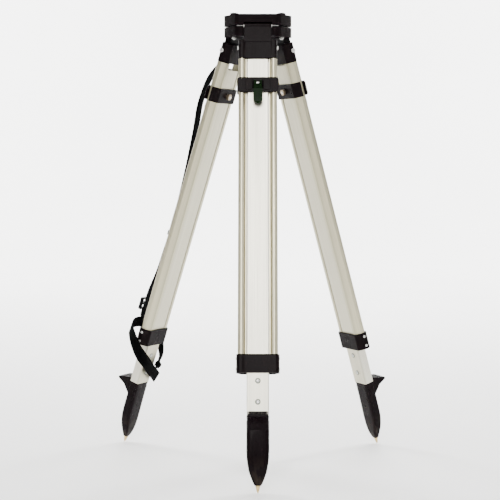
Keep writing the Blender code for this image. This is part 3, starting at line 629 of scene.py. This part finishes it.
def clamp_lever():
    """Cam, thin neck and thick grip in side view; a straight blade with a full round end from the front."""
    side = arc((0, 0), CAM_RADIUS, -50.0, 220.0, 30)
    side += softened([(-0.0052, -0.0120), (-0.0056, -0.0290), (-0.0062, -0.0340), (-0.0060, -0.0450),
                      (-0.0040, -LEVER_LENGTH), (0.0022, -LEVER_LENGTH), (0.0048, -0.0455), (0.0050, -0.0350),
                      (0.0030, -0.0310), (-0.0012, -0.0280), (-0.0010, -0.0120)], 0.0022)
    blade = prism([side], -0.0130, 0.0130, SIDEWAYS)
    front = arc((0, -LEVER_LENGTH + GRIP_HALF), GRIP_HALF, 180, 360, 24)
    front += [(GRIP_HALF, -0.0110), (LEVER_HALF, -0.0096), (LEVER_HALF, 0.0075), (-LEVER_HALF, 0.0075),
              (-LEVER_HALF, -0.0096), (-GRIP_HALF, -0.0110)]
    blade = cut(blade, prism([front], -0.03, 0.03, FACING), "INTERSECT")
    blade = cut(blade, block((-0.0035, -0.02, -0.0040), (0.0035, 0.02, 0.02)))
    return polished(blade, 0.0010, 3, 32)


on_legs("clamp_bolt", clamp_bolt(), LOWER, STEEL, "clamp_bolt")
on_legs("clamp_nut", clamp_nut(), LOWER, NUT, "clamp_nut")
LEVER_FRAME = {side: LOWER[side] @ Matrix.Translation((0, LEVER_PIVOT_Y, -CLAMP_BOLT)) for side in SIDES}
on_legs("clamp_lever", clamp_lever(), LEVER_FRAME, LEVER, "clamp_lever")


# ---------------------------------------------------------------- legs: shoe and point
# (station, half width, outer face, inner face) down the shoe
SHOE_RINGS = [(0.8735, 0.0230, -0.0031, 0.0196), (0.8742, 0.0240, -0.0041, 0.0206),
              (0.8775, 0.0240, -0.0041, 0.0207), (0.8788, 0.0235, -0.0036, 0.0204),
              (0.905, 0.0237, -0.0038, 0.0211), (0.940, 0.0237, -0.0036, 0.0219),
              (0.9606, 0.0235, -0.0028, 0.0225), (0.977, 0.0212, -0.0008, 0.0235),
              (0.990, 0.0186, 0.0020, 0.0239), (1.0017, 0.0145, 0.0056, 0.0235),
              (1.014, 0.0092, 0.0094, 0.0211), (FOOT_END, 0.0064, 0.0110, 0.0194)]
RING_POINTS, SQUARENESS = 56, 0.36         # a smaller power gives a squarer oval
RIDGE_HEIGHT, RIDGE_REACH = 0.0010, 0.0045


def shoe_ring(station, half, outer, inner):
    """A squared oval with a soft ridge down the middle of its outer face."""
    middle, depth = (outer + inner) / 2, (inner - outer) / 2
    ring = []
    for index in range(RING_POINTS):
        angle = 2 * math.pi * (index + 0.5) / RING_POINTS
        x = half * math.copysign(abs(math.cos(angle)) ** SQUARENESS, math.cos(angle))
        y = middle + depth * math.copysign(abs(math.sin(angle)) ** SQUARENESS, math.sin(angle))
        ridge = RIDGE_HEIGHT * math.exp(-(x / RIDGE_REACH) ** 2) if math.sin(angle) < 0 else 0.0
        ring.append((x, y - ridge, -station))
    return ring


def shoe():
    """The shell, the pedal on its outer side with treads across it, and grip ribs down both flanks."""
    rows = [list(row) for row in SHOE_RINGS[:3]]
    body_rows = [SHOE_RINGS[3]] + SHOE_RINGS[3:] + [SHOE_RINGS[-1]]
    for first, second, third, fourth in zip(body_rows, body_rows[1:], body_rows[2:], body_rows[3:]):
        for step in range(5):
            rows.append([between(a, b, c, d, step / 5) for a, b, c, d in zip(first, second, third, fourth)])
    rows.append(list(SHOE_RINGS[-1]))
    shell = polished(loft([shoe_ring(*row) for row in rows]), 0.0006, 2, 50)
    step_outline = softened([(-0.0390, -0.8750), (-0.0395, -0.8800), (-0.0200, -0.8880), (-0.0020, -0.9060),
                             (0.0050, -0.9060), (0.0050, -0.8745), (-0.0036, -0.8745), (-0.0055, -0.8650)],
                            0.0025)
    pedal = polished(prism([step_outline], -0.0225, 0.0225, SIDEWAYS), 0.0014, 3, 40)
    treads = []
    for index in range(5):
        t = 0.16 + 0.17 * index
        y, z = -0.0055 - 0.0335 * t, -0.8650 - 0.0100 * t
        rib = arc((y, z), 0.0011, 0, 330, 11)
        treads.append(polished(prism([rib], -0.0185, 0.0185, SIDEWAYS), 0.0003, 2, 50))
    ribs = []
    for sign in (-1, 1):
        for depth in (0.0140, 0.0172):
            rib = prism([arc((sign * 0.0234, depth), 0.0008, 0, 315, 7)], -0.9500, -0.8830)
            ribs.append(polished(rib, 0.0003, 1, 60))
    return merged(shell, pedal, *treads, *ribs)


def foot_point():
    """The turned point, blunt at its nose, with its collar and shank."""
    nose = CLOSED_LENGTH - POINT_NOSE
    tip = [(POINT_NOSE * math.sin(math.radians(a)), -nose - POINT_NOSE * math.cos(math.radians(a)))
           for a in (70, 50, 30, 12, 0)]
    profile = [(0.0, -FOOT_END + 0.010), (0.0030, -FOOT_END + 0.010), (0.0030, -FOOT_END - GAP),
               (0.0048, -FOOT_END - GAP), (0.0052, -FOOT_END - 0.0008), (0.0052, -FOOT_END - 0.0022),
               (0.0046, -FOOT_END - 0.0028)] + tip
    return polished(moved(turned(profile, 32), Matrix.Translation((0, POINT_Y, 0))), 0.0002, 1, 35)


on_legs("foot", shoe(), LOWER, SHOE, "foot")
on_legs("foot_point", foot_point(), LOWER, BRASS, "foot_point")

# ---------------------------------------------------------------- head
place("head_plate_look", polished(local_copy("head_plate", HEAD), 0.0016, 4), HEAD, CASTING,
      ("head_plate",))
place("hinge_retainer_look", polished(local_copy("hinge_retainer", HEAD), 0.0014, 3), HEAD, CASTING,
      ("hinge_retainer",))
ARM = Matrix.Translation((HEAD_AXIS.x, HEAD_AXIS.y + ARM_PIVOT_Y, SEAT))
place("screw_bush_look", polished(local_copy("screw_bush", HEAD), 0.0004, 2), HEAD, BRASS,
      ("screw_bush",))

ARM_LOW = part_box("centring_arm")[0].z - SEAT
ARM_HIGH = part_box("centring_arm")[1].z - SEAT
KNOB_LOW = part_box("centring_screw")[0].z - SEAT
ARM_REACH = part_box("centring_arm")[0].y - HEAD_AXIS.y - ARM_PIVOT_Y
ARM_WIDE, ARM_EYE, SLOT_HALF, SLOT_REACH = 0.0125, 0.0100, 0.0084, 0.0125


def centring_arm():
    """A flat arm: an eye at the pivot, a round end and a long slot between them."""
    outline = arc((0, 0), ARM_EYE, 0, 180, 20) + [(-ARM_WIDE, -0.0200)]
    outline += arc((0, ARM_REACH + ARM_WIDE), ARM_WIDE, 180, 360, 28) + [(ARM_WIDE, -0.0200)]
    slot = arc((0, -ARM_PIVOT_Y + SLOT_REACH), SLOT_HALF, 0, 180, 20)
    slot += arc((0, -ARM_PIVOT_Y - SLOT_REACH), SLOT_HALF, 180, 360, 20)
    return polished(prism([outline, slot], ARM_LOW, ARM_HIGH), 0.0002, 2, 50)


place("centring_arm_look", centring_arm(), ARM, CASTING, ("centring_arm",))


THREAD_PITCH, THREAD_CREST, THREAD_ROOT = 0.0023, 0.0079, 0.0069
FLUTES, FLUTE_DEPTH = 16, 0.0006


def centring_screw():
    """Coarse thread above the arm, a plain neck through the bush and a fluted knob below."""
    neck_top = ARM_HIGH + 0.0037
    profile = [(0.0, -0.0010), (0.0068, -0.0010)]
    turns = int((-0.0030 - neck_top) / THREAD_PITCH)
    for index in range(turns):
        z = -0.0022 - THREAD_PITCH * index
        profile += [(THREAD_CREST, z), (THREAD_CREST, z - 0.0004), (THREAD_ROOT, z - 0.0011),
                    (THREAD_ROOT, z - 0.0015)]
    neck_bottom = ARM_LOW - GAP
    profile += [(0.0074, neck_top), (0.0050, neck_top), (0.0050, neck_bottom), (0.0112, neck_bottom),
                (0.0122, neck_bottom - 0.0010), (0.0122, neck_bottom - 0.0024), (0.0122, -0.0870),
                (0.0118, -0.0885), (0.0104, KNOB_LOW + 0.0008), (0.0096, KNOB_LOW), (0.0, KNOB_LOW)]
    return turned(profile, 96, FLUTES, FLUTE_DEPTH, (-0.0872, neck_bottom - 0.0020))


place("centring_screw_look", polished(centring_screw(), 0.00015, 1, 45), HEAD, STEEL,
      ("centring_screw",))
PIVOT_HEAD = moved(pan_head(0.0058, 0.0028), Matrix.Rotation(math.pi, 4, "X"))
place("arm_pivot_look", PIVOT_HEAD, ARM @ Matrix.Translation((0, 0, ARM_LOW - GAP)), STEEL,
      ("arm_pivot_screw",))


def corner_screw(top, low):
    """The head on a boss, and the nut and screw end under the retainer; there is no shank between them."""
    head = moved(pan_head(0.0048, 0.0012), Matrix.Translation((0, 0, top - 0.0012)))
    nut = prism([arc((0, 0), 0.0052, 0, 300, 5)], low + 0.0020, low + 0.0060)
    end = turned([(0.0, low), (0.0024, low), (0.0030, low + 0.0006), (0.0030, low + 0.0030),
                  (0.0, low + 0.0030)], 24)
    return merged(head, polished(nut, 0.0004, 2, 35), end)


for number in (1, 2, 3):
    low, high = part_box(f"corner_screw_{number}")
    middle = (low + high) / 2
    spot = Matrix.Translation((middle.x, middle.y, SEAT))
    place(f"corner_screw_{number}_look", corner_screw(high.z - SEAT, low.z - SEAT), spot, STEEL,
          (f"corner_screw_{number}",))


# ---------------------------------------------------------------- straps
def ribbon(path, sides, thickness, columns=10):
    """Flat tape with rolled edges; its UV map is in metres, across and along."""
    bm = bmesh.new()
    layer = bm.loops.layers.uv.new("UVMap")
    rows, spots, run = [], {}, 0.0
    for index, point in enumerate(path):
        if index:
            run += (point - path[index - 1]).length
        along = path[min(index + 1, len(path) - 1)] - path[max(index - 1, 0)]
        normal = along.cross(sides[index]).normalized()
        row = []
        for column in range(columns + 1):
            t = 2 * column / columns - 1
            cup = 0.0007 * (t * t - 0.4) + 0.00025 * math.sin(run * 70 + 2 * t)
            vert = bm.verts.new(point + sides[index] * t + normal * cup)
            spots[vert] = (t * sides[index].length, run)
            row.append(vert)
        rows.append(row)
    for first, second in zip(rows, rows[1:]):
        for column in range(columns):
            face = bm.faces.new((first[column], first[column + 1], second[column + 1], second[column]))
            for loop in face.loops:
                loop[layer].uv = spots[loop.vert]
    mesh = bpy.data.meshes.new("tape")
    bm.to_mesh(mesh)
    bm.free()
    solid = evaluated(smooth(mesh), ("SOLIDIFY", {"thickness": thickness, "offset": 0.0}))
    return polished(solid, 0.00035, 2, 50)


# (distance out from the hinge axis, distance down the leg) of the slack carrying strap
SHOULDER_ROUTE = [(0.0072, 0.052), (0.016, 0.068), (0.032, 0.090), (0.048, 0.120), (0.056, 0.155),
                  (0.058, 0.197), (0.053, 0.240), (0.047, 0.292), (0.042, 0.352), (0.038, 0.412),
                  (0.037, 0.480), (0.037, 0.540), (0.040, 0.610), (0.0475, 0.672), (0.0493, 0.708),
                  (0.0502, 0.733)]
# past the buckle the strap turns in to meet the binding strap at its fold
STRAP_TAIL = [(-0.0345, -0.0490, -0.746), (-0.0425, -0.0425, -0.757)]
shoulder_path = smooth_path([(STRAP_X, -out, -down) for out, down in SHOULDER_ROUTE] + STRAP_TAIL, 8)
place("shoulder_strap_look", ribbon(shoulder_path, [Vector((STRAP_HALF, 0, 0))] * len(shoulder_path),
                                    STRAP_THICKNESS), UPPER["left"], WEBBING, ("shoulder_strap",))
place("strap_buckle_look", polished(local_copy("strap_buckle", UPPER["left"]), 0.0010, 3), UPPER["left"],
      BUCKLE, ("strap_buckle",))

# from the knot up the far side, over the outside, round the near side and across the inside to the free end
BINDING_ROUTE = [(-0.027, 0.0290, -0.835), (-0.042, 0.0220, -0.815), (-0.0505, 0.0060, -0.795),
                 (-0.0515, -0.0120, -0.775), (-0.0440, -0.0300, -0.759), (-0.0220, -0.0420, -0.752),
                 (0.0000, -0.0440, -0.750), (0.0220, -0.0410, -0.751), (0.0420, -0.0310, -0.757),
                 (0.0515, -0.0130, -0.772), (0.0530, 0.0050, -0.790), (0.0470, 0.0215, -0.807),
                 (0.0300, 0.0310, -0.824), (0.0060, 0.0325, -0.843), (-0.0180, 0.0315, -0.859),
                 (-0.0400, 0.0290, -0.874)]


def binding_strap():
    """Tape that faces the leg on its way round it and lies flat across the inside at its end."""
    path = smooth_path(BINDING_ROUTE, 7)
    sides = []
    for index, point in enumerate(path):
        along = path[min(index + 1, len(path) - 1)] - path[max(index - 1, 0)]
        flat = min(max((index / len(path) - 0.62) / 0.2, 0.0), 1.0)
        outward = Vector((point.x * (1.0 - flat), point.y - 0.006, 0.0))
        sides.append(along.cross(outward).normalized() * min(0.0135, 0.006 + 0.00035 * index))
    return ribbon(path, sides, STRAP_THICKNESS)


def knot():
    """Two turns of the tape drawn tight round each other."""
    turns = []
    for tilt, radius in ((-35, 0.0082), (48, 0.0072)):
        turn = Matrix.Rotation(math.radians(tilt), 3, "Y")
        path, sides = [], []
        for index in range(41):
            angle = 2 * math.pi * index / 40
            path.append(turn @ Vector((radius * math.cos(angle), 0.0052 * math.sin(angle),
                                       0.0008 * math.sin(2 * angle))))
            sides.append(turn @ Vector((0, 0, 0.0058)))
        turns.append(ribbon(path, sides, STRAP_THICKNESS, 6))
    return merged(*turns)


place("binding_strap_look", binding_strap(), UPPER["left"], WEBBING, ("binding_strap",))
place("strap_knot", knot(), UPPER["left"] @ Matrix.Translation((-0.027, 0.0300, -0.837)), WEBBING,
      body=NODES["binding_strap"]["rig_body"])

KEEPER_AT = 0.515
keeper = prism([rounded_box(STRAP_HALF + 0.0030, -0.0030, 0.0030, 0.0022),
                rounded_box(STRAP_HALF + 0.0012, -0.0013, 0.0013, 0.0008, 3)], -0.0055, 0.0055)
KEEPER_FRAME = UPPER["left"] @ Matrix.Translation((STRAP_X, -0.0365, -KEEPER_AT))
place("strap_keeper", polished(keeper, 0.0005, 2, 40), KEEPER_FRAME, KEEPER,
      body=NODES["strap_buckle"]["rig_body"])


# ---------------------------------------------------------------- stage
SWEEP_START, SWEEP_RADIUS = 5.0, 4.0


def floor():
    """A pale sweep: level under the tripod, curving up into a wall well behind it."""
    profile = [(-20.0, 0.0), (0.0, 0.0), (SWEEP_START, 0.0)]
    profile += [(SWEEP_START + SWEEP_RADIUS * math.sin(math.radians(a)),
                 SWEEP_RADIUS * (1 - math.cos(math.radians(a)))) for a in range(3, 91, 3)]
    profile.append((SWEEP_START + SWEEP_RADIUS, 14.0))
    bm = bmesh.new()
    rows = [[bm.verts.new((x, y, z)) for x in (-24.0, 24.0)] for y, z in profile]
    for first, second in zip(rows, rows[1:]):
        bm.faces.new((first[0], first[1], second[1], second[0]))
    mesh = smooth(to_mesh(bm))
    mesh.materials.append(floor_material())
    item = bpy.data.objects.new("floor", mesh)
    item.location = (0, 0, cad_low.z - 0.0005)
    bpy.context.scene.collection.objects.link(item)


def soft_light(name, place_at, aim, size, power, colour):
    light = bpy.data.lights.new(name, "AREA")
    light.shape = "DISK"
    light.size = size
    light.energy = power
    light.color = colour
    item = bpy.data.objects.new(name, light)
    item.location = place_at
    item.rotation_euler = (Vector(aim) - Vector(place_at)).to_track_quat("-Z", "Y").to_euler()
    bpy.context.scene.collection.objects.link(item)


def studio():
    """Even light all round and large soft lamps; two of them wash the wall."""
    world = bpy.data.worlds.new("studio")
    world.use_nodes = True
    background = world.node_tree.nodes["Background"]
    background.inputs["Color"].default_value = (1.0, 0.99, 0.96, 1.0)
    background.inputs["Strength"].default_value = 0.62
    bpy.context.scene.world = world
    middle = (HEAD_AXIS.x, HEAD_AXIS.y, 0.5)
    soft_light("key", (-0.5, -4.4, 3.2), middle, 2.8, 210.0, (1.0, 0.985, 0.96))
    soft_light("fill", (3.2, -1.8, 2.2), middle, 1.8, 30.0, (0.97, 0.985, 1.0))
    soft_light("wash_left", (-4.5, 4.6, 5.5), (-1.0, 9.0, 1.6), 3.0, 1400.0, (1.0, 1.0, 1.0))
    soft_light("wash_right", (4.5, 4.6, 5.5), (1.0, 9.0, 1.6), 3.0, 1400.0, (1.0, 1.0, 1.0))
    soft_light("floor_wash", (0.0, 3.2, 6.0), (0.0, 3.4, 0.0), 3.4, 300.0, (1.0, 1.0, 1.0))
    soft_light("back", (0.8, 3.2, 2.6), middle, 2.0, 50.0, (1.0, 1.0, 1.0))


CAMERA_TILT, CAMERA_DISTANCE, CAMERA_AIM = math.radians(3.6514), 3.1219, 0.4921
LENS, LENS_SHIFT = 97.327, (-0.015662, -0.005436)


def camera():
    """Stands square on to the front leg, a little above the middle of the tripod."""
    lens = bpy.data.cameras.new("camera")
    item = bpy.data.objects.new("camera", lens)
    bpy.context.scene.collection.objects.link(item)
    aim = Vector((HEAD_AXIS.x, HEAD_AXIS.y, CAMERA_AIM))
    item.location = aim + Vector((0, -CAMERA_DISTANCE * math.cos(CAMERA_TILT),
                                  CAMERA_DISTANCE * math.sin(CAMERA_TILT)))
    item.rotation_euler = (math.radians(90) - CAMERA_TILT, 0, 0)
    lens.sensor_width = 36.0
    lens.lens = LENS
    lens.shift_x, lens.shift_y = LENS_SHIFT
    bpy.context.scene.camera = item


floor()
studio()
camera()
